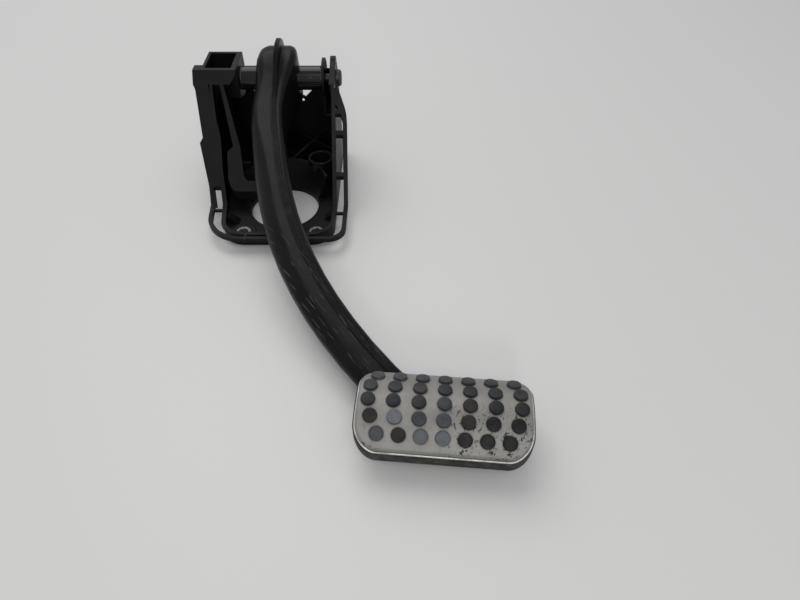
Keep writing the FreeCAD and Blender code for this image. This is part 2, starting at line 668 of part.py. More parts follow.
def pivot_parts():
    """Bolt, nut and washer, the clamped distance tube, and the hub that turns on its bushes."""
    head_face = "cheek_right + lug + ear_gap + ear"
    nut_face = "-cheek_left - plate"
    grip = f"{head_face} + cheek_left + plate"
    tail = f"-({grip}) - washer - nut_height - bolt_tail"
    bolt = turned("pivot_bolt", [
        ("0", tail), ("bolt_dia / 2 - bolt_point", tail), ("bolt_dia / 2", f"{tail} + bolt_point"),
        ("bolt_dia / 2", "0"), ("bolt_head / 2", "0"), ("bolt_head / 2", "bolt_head_height - head_chamfer"),
        ("bolt_head / 2 - head_chamfer", "bolt_head_height"), ("0", "bolt_head_height"),
    ])
    place(bolt, head_face, "pivot_y", "pivot_z", ALONG_X)
    washer = ring("pivot_washer", "bolt_hole / 2", "washer_dia / 2", "washer")
    place(washer, f"{nut_face} - washer", "pivot_y", "pivot_z", ALONG_X)
    nut = doc.addObject("PartDesign::Body", "pivot_nut")
    flat = "nut_flats / 2"
    point = "nut_flats / sqrt(3)"
    hexagon = body_sketch(nut, "XY_Plane", "nut_outline", [
        (point, "0"), (f"{point} / 2", flat), (f"-{point} / 2", flat),
        (f"-{point}", "0"), (f"-{point} / 2", f"-{flat}"), (f"{point} / 2", f"-{flat}"),
    ])
    block = nut.newObject("PartDesign::Pad", "nut_block")
    block.Profile = hexagon
    block.setExpression("Length", bound("nut_height"))
    thread = nut.newObject("Sketcher::SketchObject", "nut_thread")
    thread.AttachmentSupport = hexagon.AttachmentSupport
    thread.MapMode = "FlatFace"
    circle = thread.addGeometry(Part.Circle(Vector(), Vector(0, 0, 1), number("bolt_dia / 2")), False)
    thread.addConstraint(Sketcher.Constraint("Coincident", circle, 3, -1, 1))
    size = thread.addConstraint(Sketcher.Constraint("Radius", circle, number("bolt_dia / 2")))
    thread.setExpression(f"Constraints[{size}]", bound("bolt_dia / 2"))
    tapped = nut.newObject("PartDesign::Pocket", "nut_tapping")
    tapped.Profile = thread
    tapped.Reversed = True
    tapped.Type = "ThroughAll"
    place(node(nut, "pivot_nut"), f"{nut_face} - washer - nut_height", "pivot_y", "pivot_z", ALONG_X)
    spacer = ring("pivot_spacer", "bolt_hole / 2", "spacer_dia / 2", "cheek_left + cheek_right")
    place(spacer, "-cheek_left", "pivot_y", "pivot_z", ALONG_X)
    bore = "spacer_dia / 2 + running_gap"
    seat = f"{bore} + bush_wall"
    for name, x, rotation in (
        ("bush_left", "side_gap - cheek_left", ALONG_X),
        ("bush_right", "cheek_right - side_gap", FreeCAD.Rotation(Vector(0, 0, 1), Vector(-1, 0, 0))),
    ):
        bush = turned(name, [
            (bore, "0"), ("bush_flange_dia / 2", "0"), ("bush_flange_dia / 2", "bush_flange"),
            (seat, "bush_flange"), (seat, "bush_length"), (bore, "bush_length"),
        ])
        place(bush, x, "pivot_y", "pivot_z", rotation)
    end = "side_gap + bush_flange"
    hub = ring("hub_tube", seat, f"{seat} + hub_wall", f"cheek_left + cheek_right - 2 * ({end})")
    place(hub, f"{end} - cheek_left", "pivot_y", "pivot_z", ALONG_X)


# Powers of the arm's sideways sweep and of its fall, shares of the section at its closed ends, and spans
ARM_SWEEP = 2.7
ARM_FALL = 1.15
TIP_WIDTH = 0.35
TIP_DEPTH = 0.2
TIP_FILL = 0.7
HEAD_SEAM = 0.5
# Corner radius of a shell as a share of its smaller half size: at the right, and at the left of head and arm
RIGHT_CORNER = 0.45
HEAD_CORNER = 0.5
ARM_CORNER = 0.82
# Share of a full round that the crease of the arm keeps
CREASE = 0.45
ARM_SPANS = 16


def arm_station(share):
    """Centre, width, depth, fin and seam place of the arm's section, at a share of its reach."""
    reach = number("arm_reach")
    past = max(0.0, -share * reach)
    ahead = max(0.0, share)
    swell = math.exp(-(ahead * reach / number("head_run")) ** 2)
    dome = math.sqrt(1 - (past / number("head_radius")) ** 2)
    depth = number("arm_depth") + (number("arm_foot_depth") - number("arm_depth")) * ahead
    depth += (2 * number("head_radius") - number("arm_depth")) * swell
    width = number("arm_width") + (number("head_width") - number("arm_width")) * swell
    fin = number("seam_bead") + (number("seam_fin") - number("seam_bead")) * swell * dome ** 2
    drop = number("pivot_z - foot_height")
    run = number("lean_run")
    lean = number("head_lean") * math.exp(-(ahead * reach / run) ** 2)
    lean -= number("neck_lean") * math.exp(-((ahead * reach - number("neck_place")) / run) ** 2)
    centre = Vector(
        number("arm_offset") * ahead ** ARM_SWEEP + lean - number("head_x"),
        number("pivot_y") - reach * share,
        number("foot_height") + drop * (1 - ahead) ** ARM_FALL + drop * past / reach * ARM_FALL,
    )
    narrowing = TIP_WIDTH + (1 - TIP_WIDTH) * dome
    seam = number("seam_shift") * (1 - HEAD_SEAM * swell) * narrowing
    return centre, width * narrowing, depth * max(dome, TIP_DEPTH), fin, seam


def arm_axes(share):
    """Directions along, across and out of the top of the arm at a share of its reach."""
    step = 0.002
    start = min(share, 1 - step)
    ahead = (arm_station(start + step)[0] - arm_station(start)[0]).normalize()
    across = Vector(0, 0, 1).cross(ahead).normalize()
    return ahead, across, ahead.cross(across)


def arm_top(share):
    """Point on the seam's bead over the middle of the arm."""
    centre, _, depth, _, _ = arm_station(share)
    return centre + arm_axes(share)[2] * (depth / 2 + number("seam_bead"))


def pin_station():
    """Section of the arm where it crosses the axis of the pushrod hole."""
    return arm_station(number("pivot_y / arm_reach"))


def neck_share(share):
    """From 0 on the arm's head to 1 beyond its neck."""
    return min(max(share / number("neck_place / arm_reach") - 1, 0.0), 1.0)


def corner_share(share, side):
    """Share for the corner radius, which grows on the left where the arm narrows beyond its neck."""
    if side > 0:
        return RIGHT_CORNER
    return HEAD_CORNER + (ARM_CORNER - HEAD_CORNER) * neck_share(share)


def shell_section(share, side, closed):
    """Section of one half-shell: a channel of sheet with a lip along its seam, filled where it closes."""
    centre, width, depth, fin, seam = arm_station(share)
    _, across, up = arm_axes(share)
    reach = width / 2 - side * seam
    top = depth / 2
    sheet_size = TIP_FILL * min(reach, top) if closed else number("sheet")
    corner = min(reach, top) * corner_share(share, side)
    inner = max(corner - sheet_size, number("sheet") / 4)
    open_top = top - sheet_size
    face = number("seam_gap") / 2
    lip = number("sheet")
    bend = math.sqrt(0.5)
    crease = 1 - (1 - CREASE) * neck_share(share)
    pull = (1 - bend) * crease + (1 - crease) / 2

    def at(u, v):
        return centre + across * (side * u + seam) + up * v

    outside = [
        Part.LineSegment(at(face, top + fin), at(lip, top + fin)),
        Part.LineSegment(at(lip, top + fin), at(lip, top)),
        Part.LineSegment(at(lip, top), at(reach - corner, top)),
        Part.Arc(at(reach - corner, top), at(reach - corner * pull, top - corner * pull),
                 at(reach, top - corner)),
        Part.LineSegment(at(reach, top - corner), at(reach, corner - top)),
        Part.Arc(at(reach, corner - top), at(reach - corner * (1 - bend), corner * (1 - bend) - top),
                 at(reach - corner, -top)),
        Part.LineSegment(at(reach - corner, -top), at(face, -top)),
    ]
    wall_in = reach - sheet_size
    inside = [
        Part.LineSegment(at(face, -top), at(face, -open_top)),
        Part.LineSegment(at(face, -open_top), at(wall_in - inner, -open_top)),
        Part.Arc(at(wall_in - inner, -open_top),
                 at(wall_in - inner * (1 - bend), inner * (1 - bend) - open_top),
                 at(wall_in, inner - open_top)),
        Part.LineSegment(at(wall_in, inner - open_top), at(wall_in, open_top - inner)),
        Part.Arc(at(wall_in, open_top - inner),
                 at(wall_in - inner * pull, open_top - inner * pull), at(wall_in - inner, open_top)),
        Part.LineSegment(at(wall_in - inner, open_top), at(face, open_top)),
        Part.LineSegment(at(face, open_top), at(face, top + fin)),
    ]
    return Part.Wire([curve.toShape() for curve in outside + inside])


def arm_shells():
    """Two pressed half-shells, pierced for the hub, the pushrod pin and the pushrod's clevis."""
    tip = -number("head_radius") / number("arm_reach")
    shares = [0.96 * tip, 0.85 * tip, 0.65 * tip, 0.4 * tip, 0.0, 0.03, 0.06, 0.1]
    span = (1 - shares[-1]) / ARM_SPANS
    shares += [1 - span * left for left in range(ARM_SPANS - 1, -1, -1)]
    box = number("box_left")
    hub = number("spacer_dia / 2 + running_gap + bush_wall + hub_wall + weld_gap")
    pin = number("pin_dia / 2 + weld_gap")
    hub_start = Vector(-box, number("pivot_y"), number("pivot_z"))
    hub_hole = Part.makeCylinder(hub, 2 * box, hub_start, Vector(1, 0, 0))
    pin_centre = pin_station()[0]
    pin_hole = Part.makeCylinder(pin, 2 * box, Vector(-box, 0, pin_centre.z), Vector(1, 0, 0))
    clevis = Part.makeBox(number("clevis_width"), number("clevis_length"), pin_centre.z,
                          Vector(-number("clevis_width") / 2, -number("clevis_length") / 2, 0))
    for name, side in (("arm_left_shell", -1), ("arm_right_shell", 1)):
        sections = [shell_section(share, side, share in (shares[0], shares[-1])) for share in shares]
        shell = Part.makeLoft(sections, True, True)
        for tool in (hub_hole, pin_hole, clevis):
            shell = shell.cut(tool)
        feature = doc.addObject("Part::Feature", name)
        feature.Shape = shell
        node(feature, name)


def pushrod_pin():
    """Plain pin across the arm in line with the pushrod hole, welded flush into both shells."""
    centre, width, _, _, _ = pin_station()
    width -= 2 * number("pin_recess")
    pin = turned("pushrod_pin", [
        ("0", "0"), ("pin_dia / 2", "0"), ("pin_dia / 2", f"{width:.4f}"), ("0", f"{width:.4f}"),
    ])
    place(pin, f"{centre.x - width / 2:.4f}", "0", f"{centre.z:.4f}", ALONG_X)


def pad_placement():
    """Frame of the pad: x along its width, z out of its face at the middle."""
    yaw = FreeCAD.Rotation(Vector(0, 0, 1), -number("pad_yaw"))
    tilt = FreeCAD.Rotation(Vector(1, 0, 0), number("pad_tilt"))
    foot = arm_station(1.0)[0]
    middle = foot + Vector(number("pad_shift"), number("pad_back"), number("pad_rise"))
    return FreeCAD.Placement(middle, yaw.multiply(tilt))


def pad_drum(depth):
    """Cylinder whose crown lies a depth below the middle of the pad's face."""
    radius = number("pad_radius")
    length = 2 * number("pad_width")
    return Part.makeCylinder(radius, length, Vector(-length / 2, 0, -radius - depth), Vector(1, 0, 0))


def pad_block(depth, inset, edge=0.0):
    """Everything under the pad's curved face at a depth, inside its rounded outline less an inset."""
    x = number("pad_width") / 2 - inset
    y = number("pad_height") / 2 - inset
    low = -number("pad_radius")
    box = Part.makeBox(2 * x, 2 * y, -low, Vector(-x, -y, low))
    upright = [side for side in box.Edges if abs(side.BoundBox.ZLength + low) < 1e-6]
    outline = box.makeFillet(number("pad_corner") - inset, upright)
    block = outline.common(pad_drum(depth)).Solids[0]
    if edge:
        crown = [side for side in block.Edges if side.BoundBox.ZMin > low + 1]
        ring_edges = [side for side in crown if side.Length > 1 and side.BoundBox.ZLength < -low / 2]
        block = block.makeFillet(edge, ring_edges)
    return block


def stud_places():
    """Point and outward direction of every stud on the pad's face, row by row."""
    radius = number("pad_radius")
    rows = ("front", "second", "middle", "fourth", "back")
    places = []
    for row, span in enumerate(number("stud_row_" + name) for name in rows):
        angle = (row - 2) * number("stud_row_pitch") / radius
        out = Vector(0, math.sin(angle), math.cos(angle))
        for column in range(STUD_COLUMNS):
            x = span * (column / (STUD_COLUMNS - 1) - 0.5)
            places.append((Vector(x, 0, -radius) + out * radius, out))
    return places


def pad_studs(radius, below, above):
    """One round peg for each stud, from a depth under the face to a height over it."""
    height = below + above
    return [Part.makeCylinder(radius, height, point - out * below, out) for point, out in stud_places()]


def pad_feature(name, shape):
    """Keeps a shape modelled in the pad's frame as a sub-part in its place."""
    feature = doc.addObject("Part::Feature", name)
    feature.Shape = shape
    feature.Placement = pad_placement()
    return node(feature, name)


def arm_clearance():
    """Passage for the arm through the rear rim of the pad, in the pad's frame."""
    rear = pad_placement().multVec(Vector(0, number("pad_height / 2"), 0))
    share = (number("pivot_y") - rear.y) / number("arm_reach")
    centre, width, depth, _, _ = arm_station(share)
    ahead, across, up = arm_axes(share)
    gap = number("arm_gap")
    half = width / 2 + gap
    low = depth
    high = depth / 2 + number("seam_bead") + gap
    run = number("pad_height / 2")
    passage = Part.makeBox(run, 2 * half, low + high, Vector(-run / 2, -half, -low))
    passage.Placement = FreeCAD.Placement(centre, FreeCAD.Rotation(ahead, across, up, "XYZ"))
    passage.Placement = pad_placement().inverse().multiply(passage.Placement)
    return passage


def pad_parts():
    """Support and plate of steel, the rubber that clips over the plate, and the pierced cover."""
    cover, rubber, plate = number("cover"), number("rubber"), number("pad_plate")
    edge = number("cover_edge")
    skin = pad_block(0, 0, edge).cut(pad_block(cover, cover))
    skin = skin.cut(pad_drum(number("cover_lip")).cut(pad_block(cover, cover)))
    stud = number("stud_dia / 2")
    skin = skin.cut(Part.makeCompound(pad_studs(stud + number("stud_gap"), rubber, rubber)))
    pad_feature("pad_cover", skin)

    mat = pad_block(cover, cover).fuse(pad_block(number("cover_lip + lip_gap"), -number("rubber_flare")))
    mat = mat.cut(pad_block(cover + rubber, number("rubber_rim") + cover))
    mat = mat.cut(pad_drum(number("rubber_depth")))
    mat = mat.cut(arm_clearance())
    mat = mat.fuse(pad_studs(stud, rubber / 2, number("stud_height")))
    pad_feature("pad_rubber", mat.removeSplitter())

    tray = pad_block(cover + rubber, number("rubber_rim") + cover)
    tray = tray.cut(pad_drum(cover + rubber + plate))
    pad_feature("pad_plate", tray)

    back = number("support_back / arm_reach")
    front_top = arm_top(1 - back)
    rear_top = arm_top(1 - back - number("support_length / arm_reach"))
    ahead = (front_top - rear_top).normalize()
    across = Vector(0, 0, 1).cross(ahead).normalize()
    up = ahead.cross(across)
    turn = FreeCAD.Rotation(ahead, across, up, "XYZ")
    seat = FreeCAD.Placement(rear_top + up * number("support_gap"), turn)
    width, length, leaf = number("support_width"), (front_top - rear_top).Length, number("support")
    rise = number("pad_rise")
    channel = Part.makeBox(length, width, rise, Vector(0, -width / 2, 0))
    channel = channel.cut(Part.makeBox(length, width - 2 * leaf, rise, Vector(0, leaf - width / 2, leaf)))
    channel.Placement = pad_placement().inverse().multiply(seat)
    channel = channel.common(pad_drum(cover + rubber + plate))
    pad_feature("pad_support", channel)


pedal_bracket()
flange_sleeves()
pivot_parts()
arm_shells()
pushrod_pin()
pad_parts()
doc.recompute()

for feature in doc.Objects:
    if "Invalid" in feature.State or "Error" in feature.State:
        raise RuntimeError(f"{feature.Label} did not build: {feature.State}")
os.makedirs("parts", exist_ok=True)
for feature in nodes:
    if feature.Shape.isNull() or not feature.Shape.isValid():
        raise RuntimeError(f"{feature.Label} has no valid shape")
    print(feature.Label, len(feature.Shape.Solids), round(feature.Shape.Volume))
for feature in nodes:
    feature.Shape.exportStep(f"parts/{feature.Label}.step")
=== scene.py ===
import math

import bmesh
import bpy
from mathutils import Matrix, Vector


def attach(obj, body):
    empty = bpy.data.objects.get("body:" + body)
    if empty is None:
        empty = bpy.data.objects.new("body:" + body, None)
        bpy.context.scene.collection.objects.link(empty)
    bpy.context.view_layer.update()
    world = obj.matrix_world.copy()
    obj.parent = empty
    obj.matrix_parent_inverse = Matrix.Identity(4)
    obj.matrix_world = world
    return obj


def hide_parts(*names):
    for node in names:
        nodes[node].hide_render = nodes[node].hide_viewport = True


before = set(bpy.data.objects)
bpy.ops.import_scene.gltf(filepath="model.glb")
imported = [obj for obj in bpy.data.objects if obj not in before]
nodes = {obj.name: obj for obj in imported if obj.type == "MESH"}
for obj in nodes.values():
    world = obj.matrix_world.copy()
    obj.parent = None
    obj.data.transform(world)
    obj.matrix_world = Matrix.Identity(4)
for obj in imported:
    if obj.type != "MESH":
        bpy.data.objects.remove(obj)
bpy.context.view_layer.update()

# Pedal bracket: one black moulding in glass-filled nylon, bolted to the bulkhead by its flange.
# The tool leaves a fine matt grain on it. Handling has scuffed its edges, and dust lies on its
# ledges.
BEVEL_SAMPLES = 6


def add_node(tree, kind, inputs=None, **settings):
    """A node with its properties set by name, and its inputs linked or, for plain values, set."""
    made = tree.nodes.new(kind)
    for label, value in settings.items():
        setattr(made, label, value)
    for label, value in (inputs or {}).items():
        if isinstance(value, bpy.types.NodeSocket):
            tree.links.new(value, made.inputs[label])
        else:
            made.inputs[label].default_value = value
    return made


def math_node(tree, operation, first, second, clamp=False):
    made = add_node(tree, "ShaderNodeMath", {0: first, 1: second},
                    operation=operation, use_clamp=clamp)
    return made.outputs["Value"]


def times(tree, first, second, clamp=False):
    return math_node(tree, "MULTIPLY", first, second, clamp)


def ramp_node(tree, value, over=(0.0, 1.0), to=(0.0, 1.0)):
    """A smooth step between the two numbers of to, while the value crosses the range over."""
    made = add_node(tree, "ShaderNodeMapRange", {
        "Value": value, "From Min": over[0], "From Max": over[1], "To Min": to[0], "To Max": to[1],
    }, interpolation_type="SMOOTHSTEP")
    return made.outputs["Result"]


def noise_node(tree, vector, scale, detail=3.0, roughness=0.55):
    made = add_node(tree, "ShaderNodeTexNoise", {
        "Vector": vector, "Scale": scale, "Detail": detail, "Roughness": roughness,
    })
    return made.outputs["Fac"]


def split_node(tree, vector):
    return add_node(tree, "ShaderNodeSeparateXYZ", {"Vector": vector}).outputs


def mix_colour(tree, factor, first, second):
    """Two colours mixed. The node's colour sockets share their names, so they go by number."""
    made = add_node(tree, "ShaderNodeMix", {0: factor, 6: first, 7: second}, data_type="RGBA")
    return made.outputs[2]


def object_place(tree):
    return add_node(tree, "ShaderNodeTexCoord").outputs["Object"]


def new_group(name, output, **inputs):
    """A shader node group with numbers as its inputs and one mask as its output."""
    group = bpy.data.node_groups.new(name, "ShaderNodeTree")
    for label, value in inputs.items():
        made = group.interface.new_socket(label, in_out="INPUT", socket_type="NodeSocketFloat")
        made.default_value = value
    group.interface.new_socket(output, in_out="OUTPUT", socket_type="NodeSocketFloat")
    start, end = group.nodes.new("NodeGroupInput"), group.nodes.new("NodeGroupOutput")
    return group, start.outputs, end.inputs


def scuffed_edges():
    """Mask of the narrow outside edges, broken up so that the wear comes and goes."""
    group, start, end = new_group("scuffed_edges", "Wear", Radius=0.001, Breaks=90.0)
    rounded = add_node(group, "ShaderNodeBevel", {"Radius": start["Radius"]}, samples=BEVEL_SAMPLES)
    plain = add_node(group, "ShaderNodeNewGeometry")
    turn = add_node(group, "ShaderNodeVectorMath", {
        0: rounded.outputs["Normal"], 1: plain.outputs["Normal"],
    }, operation="DOT_PRODUCT")
    edge = ramp_node(group, turn.outputs["Value"], over=(0.97, 0.8))
    breaks = noise_node(group, object_place(group), start["Breaks"], detail=4.0, roughness=0.5)
    patches = ramp_node(group, breaks, over=(0.45, 0.68))
    group.links.new(times(group, edge, patches), end["Wear"])
    return group


def settled_dust():
    """Mask of faces that look up, thinned by cloudy patches, where dust has settled."""
    group, start, end = new_group("settled_dust", "Dust", Patches=30.0)
    facing = add_node(group, "ShaderNodeNewGeometry").outputs["Normal"]
    level = ramp_node(group, split_node(group, facing)["Z"], over=(0.35, 0.95))
    clouds = noise_node(group, object_place(group), start["Patches"], detail=6.0, roughness=0.7)
    patches = ramp_node(group, clouds, over=(0.4, 0.75))
    group.links.new(times(group, level, patches), end["Dust"])
    return group


def place_group(tree, group, **values):
    return add_node(tree, "ShaderNodeGroup", values, node_tree=group).outputs[0]


def new_material(name, **values):
    """A material with its shader's plain values set, its node tree and its object coordinates."""
    material = bpy.data.materials.new(name)
    material.use_nodes = True
    tree = material.node_tree
    for label, value in values.items():
        tree.nodes["Principled BSDF"].inputs[label.replace("_", " ")].default_value = value
    return material, tree, object_place(tree)


def link_looks(tree, **looks):
    for label, value in looks.items():
        tree.links.new(value, tree.nodes["Principled BSDF"].inputs[label.replace("_", " ")])


def bump(tree, height, strength, depth, edge_radius):
    """The surface's normal with the height pressed into it, and its sharp edges shaded round."""
    rounded = add_node(tree, "ShaderNodeBevel", {"Radius": edge_radius}, samples=BEVEL_SAMPLES)
    made = add_node(tree, "ShaderNodeBump", {
        "Height": height, "Strength": strength, "Distance": depth,
        "Normal": rounded.outputs["Normal"],
    })
    return made.outputs["Normal"]


def dress(material, *names):
    for name in names:
        for slot in nodes[name].material_slots:
            slot.material = material


EDGE_SCUFFS = scuffed_edges()
DUST = settled_dust()
NYLON_BLACK = (0.0042, 0.0043, 0.0043, 1)
NYLON_SCUFF = (0.06, 0.06, 0.059, 1)
NYLON_SCUFF_SHARE = 0.35
NYLON_GRAIN = 1500.0
GREY_DUST = (0.15, 0.145, 0.135, 1)
BRACKET_DUST_SHARE = 0.05
BRACKET_DUST_MATT = 0.2

nylon, tree, place = new_material("grained_black_nylon", Specular_IOR_Level=0.17)
wear = place_group(tree, EDGE_SCUFFS, Radius=0.0008, Breaks=140.0)
dust = place_group(tree, DUST, Patches=38.0)
scuffed = mix_colour(tree, times(tree, wear, NYLON_SCUFF_SHARE), NYLON_BLACK, NYLON_SCUFF)
mottle = noise_node(tree, place, scale=60.0, detail=4.0)
sheen = ramp_node(tree, mottle, over=(0.3, 0.7), to=(0.36, 0.52))
grain = add_node(tree, "ShaderNodeTexVoronoi", {"Vector": place, "Scale": NYLON_GRAIN})
link_looks(
    tree,
    Base_Color=mix_colour(tree, times(tree, dust, BRACKET_DUST_SHARE), scuffed, GREY_DUST),
    Roughness=math_node(tree, "ADD", sheen, times(tree, dust, BRACKET_DUST_MATT)),
    Normal=bump(tree, grain.outputs["Distance"], strength=0.25, depth=0.0001, edge_radius=0.0012),
)
dress(nylon, "pedal_bracket")

# Steel sleeves in the flange and the ear: turned, zinc plated and pressed into the moulding, so
# that the fixings clamp on steel. The plating has gone grey and blotchy.
ZINC = (0.3, 0.293, 0.28, 1)
ZINC_DULL = (0.13, 0.127, 0.12, 1)

zinc, tree, place = new_material("dulled_zinc_plate", Metallic=1.0)
blotches = noise_node(tree, place, scale=220.0, detail=6.0, roughness=0.7)
stains = ramp_node(tree, blotches, over=(0.36, 0.6))
pits = noise_node(tree, place, scale=900.0)
link_looks(
    tree,
    Base_Color=mix_colour(tree, stains, ZINC, ZINC_DULL),
    Roughness=ramp_node(tree, stains, to=(0.3, 0.52)),
    Normal=bump(tree, pits, strength=0.2, depth=0.0001, edge_radius=0.0003),
)
dress(zinc, "sleeve_front_left", "sleeve_front_right", "sleeve_rear_left", "sleeve_rear_right",
      "ear_sleeve")

# Pivot screw set: bolt, washer and nut in phosphated steel, dark grey with an oily sheen.
# The nut sits in the moulding's box and the bolt's round head lies outside the ear.
PHOSPHATE = (0.045, 0.045, 0.047, 1)
PHOSPHATE_RUBBED = (0.15, 0.148, 0.142, 1)

phosphate, tree, place = new_material("phosphated_steel", Metallic=0.7)
wear = place_group(tree, EDGE_SCUFFS, Radius=0.0005, Breaks=300.0)
crystals = noise_node(tree, place, scale=1400.0)
link_looks(
    tree,
    Base_Color=mix_colour(tree, wear, PHOSPHATE, PHOSPHATE_RUBBED),
    Roughness=ramp_node(tree, crystals, over=(0.3, 0.7), to=(0.36, 0.55)),
    Normal=bump(tree, crystals, strength=0.2, depth=0.0001, edge_radius=0.0004),
)
dress(phosphate, "pivot_bolt", "pivot_washer", "pivot_nut")

# Pivot tubes: the distance tube clamped by the bolt, and the hub welded through the arm's head.
# Both are black coated steel, smooth enough to carry a streak of light.
COAT_BLACK = (0.008, 0.0081, 0.0083, 1)
COAT_RUBBED = (0.06, 0.06, 0.062, 1)
COAT_RUBBED_SHARE = 0.3

coat, tree, place = new_material("black_coated_tube", Specular_IOR_Level=0.34)
patches = noise_node(tree, place, scale=70.0, detail=5.0, roughness=0.65)
rubbed = ramp_node(tree, patches, over=(0.55, 0.75))
ripple = noise_node(tree, place, scale=500.0)
link_looks(
    tree,
    Base_Color=mix_colour(tree, times(tree, rubbed, COAT_RUBBED_SHARE), COAT_BLACK, COAT_RUBBED),
    Roughness=ramp_node(tree, rubbed, to=(0.16, 0.3)),
    Normal=bump(tree, ripple, strength=0.15, depth=0.0001, edge_radius=0.0004),
)
dress(coat, "pivot_spacer", "hub_tube")

# Bearing bushes: flanged plastic bushes, moulded and pressed into the hub's two ends, where they
# turn on the distance tube. They are dark with old grease.
BUSH_BROWN = (0.045, 0.042, 0.036, 1)
BUSH_DARK = (0.016, 0.015, 0.014, 1)

bush, tree, place = new_material("greased_bush_plastic")
smears = noise_node(tree, place, scale=160.0, detail=5.0)
grease = ramp_node(tree, smears, over=(0.42, 0.62))
ripple = noise_node(tree, place, scale=600.0)
link_looks(
    tree,
    Base_Color=mix_colour(tree, grease, BUSH_BROWN, BUSH_DARK),
    Roughness=ramp_node(tree, grease, to=(0.5, 0.28)),
    Normal=bump(tree, ripple, strength=0.15, depth=0.0001, edge_radius=0.0004),
)
dress(bush, "bush_left", "bush_right")

# Arm: two deep-drawn steel halves, welded along an off-centre seam that stands up as a fin over
# the head. It has a satin black dip coat with a slight peel, scratched along its lower length. The
# pushrod pin, the pad's support and its plate are welded on and carry the same coat.
COAT_SATIN = (0.0062, 0.0063, 0.0066, 1)
COAT_SCRATCH = (0.11, 0.106, 0.098, 1)
SCRATCH_TURN = math.radians(-52)
SCRATCH_STRETCH = (18.0, 0.6, 12.0)
SCRATCH_SHARE = 0.7
SCRATCH_MATT = 0.15
SCRATCHED_Y = (-0.06, -0.16)
ARM_SCUFF_SHARE = 0.3
ARM_DUST_SHARE = 0.03
MERGE_REACH = 0.00001
DRAWN_CORNER = math.radians(60)


def mapping_node(tree, vector, vector_type="POINT", **values):
    inputs = {"Vector": vector, **values}
    return add_node(tree, "ShaderNodeMapping", inputs, vector_type=vector_type).outputs["Vector"]


satin, tree, place = new_material("satin_black_dip_coat", Specular_IOR_Level=0.11)
wear = place_group(tree, EDGE_SCUFFS, Radius=0.0012, Breaks=110.0)
dust = place_group(tree, DUST, Patches=26.0)
along = mapping_node(tree, place, "TEXTURE", Rotation=(0, 0, SCRATCH_TURN), Scale=SCRATCH_STRETCH)
lines = noise_node(tree, along, scale=620.0, roughness=0.6)
low_arm = ramp_node(tree, split_node(tree, place)["Y"], over=SCRATCHED_Y)
scratches = times(tree, ramp_node(tree, lines, over=(0.62, 0.67)), low_arm)
worn = math_node(tree, "MAXIMUM", times(tree, scratches, SCRATCH_SHARE),
                 times(tree, wear, ARM_SCUFF_SHARE))
scuffed = mix_colour(tree, worn, COAT_SATIN, COAT_SCRATCH)
mottle = noise_node(tree, place, scale=45.0, detail=5.0, roughness=0.6)
sheen = ramp_node(tree, mottle, over=(0.3, 0.7), to=(0.24, 0.36))
peel = noise_node(tree, place, scale=260.0, detail=2.0)
link_looks(
    tree,
    Base_Color=mix_colour(tree, times(tree, dust, ARM_DUST_SHARE), scuffed, GREY_DUST),
    Roughness=math_node(tree, "ADD", sheen, times(tree, scratches, SCRATCH_MATT)),
    Normal=bump(tree, peel, strength=0.12, depth=0.0003, edge_radius=0.0028),
)
dress(satin, "pushrod_pin", "pad_support", "pad_plate")


def add_object(name, data):
    made = bpy.data.objects.new(name, data)
    bpy.context.scene.collection.objects.link(made)
    return made


def drawn_shell(name, node):
    """The node's own mesh, its loose triangles merged so that the drawn curves shade unbroken."""
    sheet = bmesh.new()
    sheet.from_mesh(nodes[node].data)
    bmesh.ops.remove_doubles(sheet, verts=sheet.verts, dist=MERGE_REACH)
    sheet.verts.index_update()
    mesh = bpy.data.meshes.new(name)
    mesh.from_pydata([corner.co.copy() for corner in sheet.verts], [],
                     [[corner.index for corner in face.verts] for face in sheet.faces])
    sheet.free()
    mesh.shade_smooth()
    mesh.set_sharp_from_angle(angle=DRAWN_CORNER)
    mesh.materials.append(satin)
    piece = add_object(name, mesh)
    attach(piece, "pedal")
    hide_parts(node)


drawn_shell("arm_left_pressing", "arm_left_shell")
drawn_shell("arm_right_pressing", "arm_right_shell")

# Pad rubber: a black moulded mat that hooks over the steel plate and shows as a skirt below the
# cover. It has gone dull and dusty, with pale clouds on it.
RUBBER_BLACK = (0.009, 0.0088, 0.0088, 1)
RUBBER_GREY = (0.07, 0.069, 0.067, 1)

rubber, tree, place = new_material("dusty_pad_rubber", Specular_IOR_Level=0.25)
clouds = noise_node(tree, place, scale=120.0, detail=6.0, roughness=0.7)
dusty = ramp_node(tree, clouds, over=(0.42, 0.72))
pores = noise_node(tree, place, scale=700.0)
link_looks(
    tree,
    Base_Color=mix_colour(tree, dusty, RUBBER_BLACK, RUBBER_GREY),
    Roughness=ramp_node(tree, dusty, to=(0.48, 0.66)),
    Normal=bump(tree, pores, strength=0.25, depth=0.0002, edge_radius=0.0008),
)
dress(rubber, "pad_rubber")

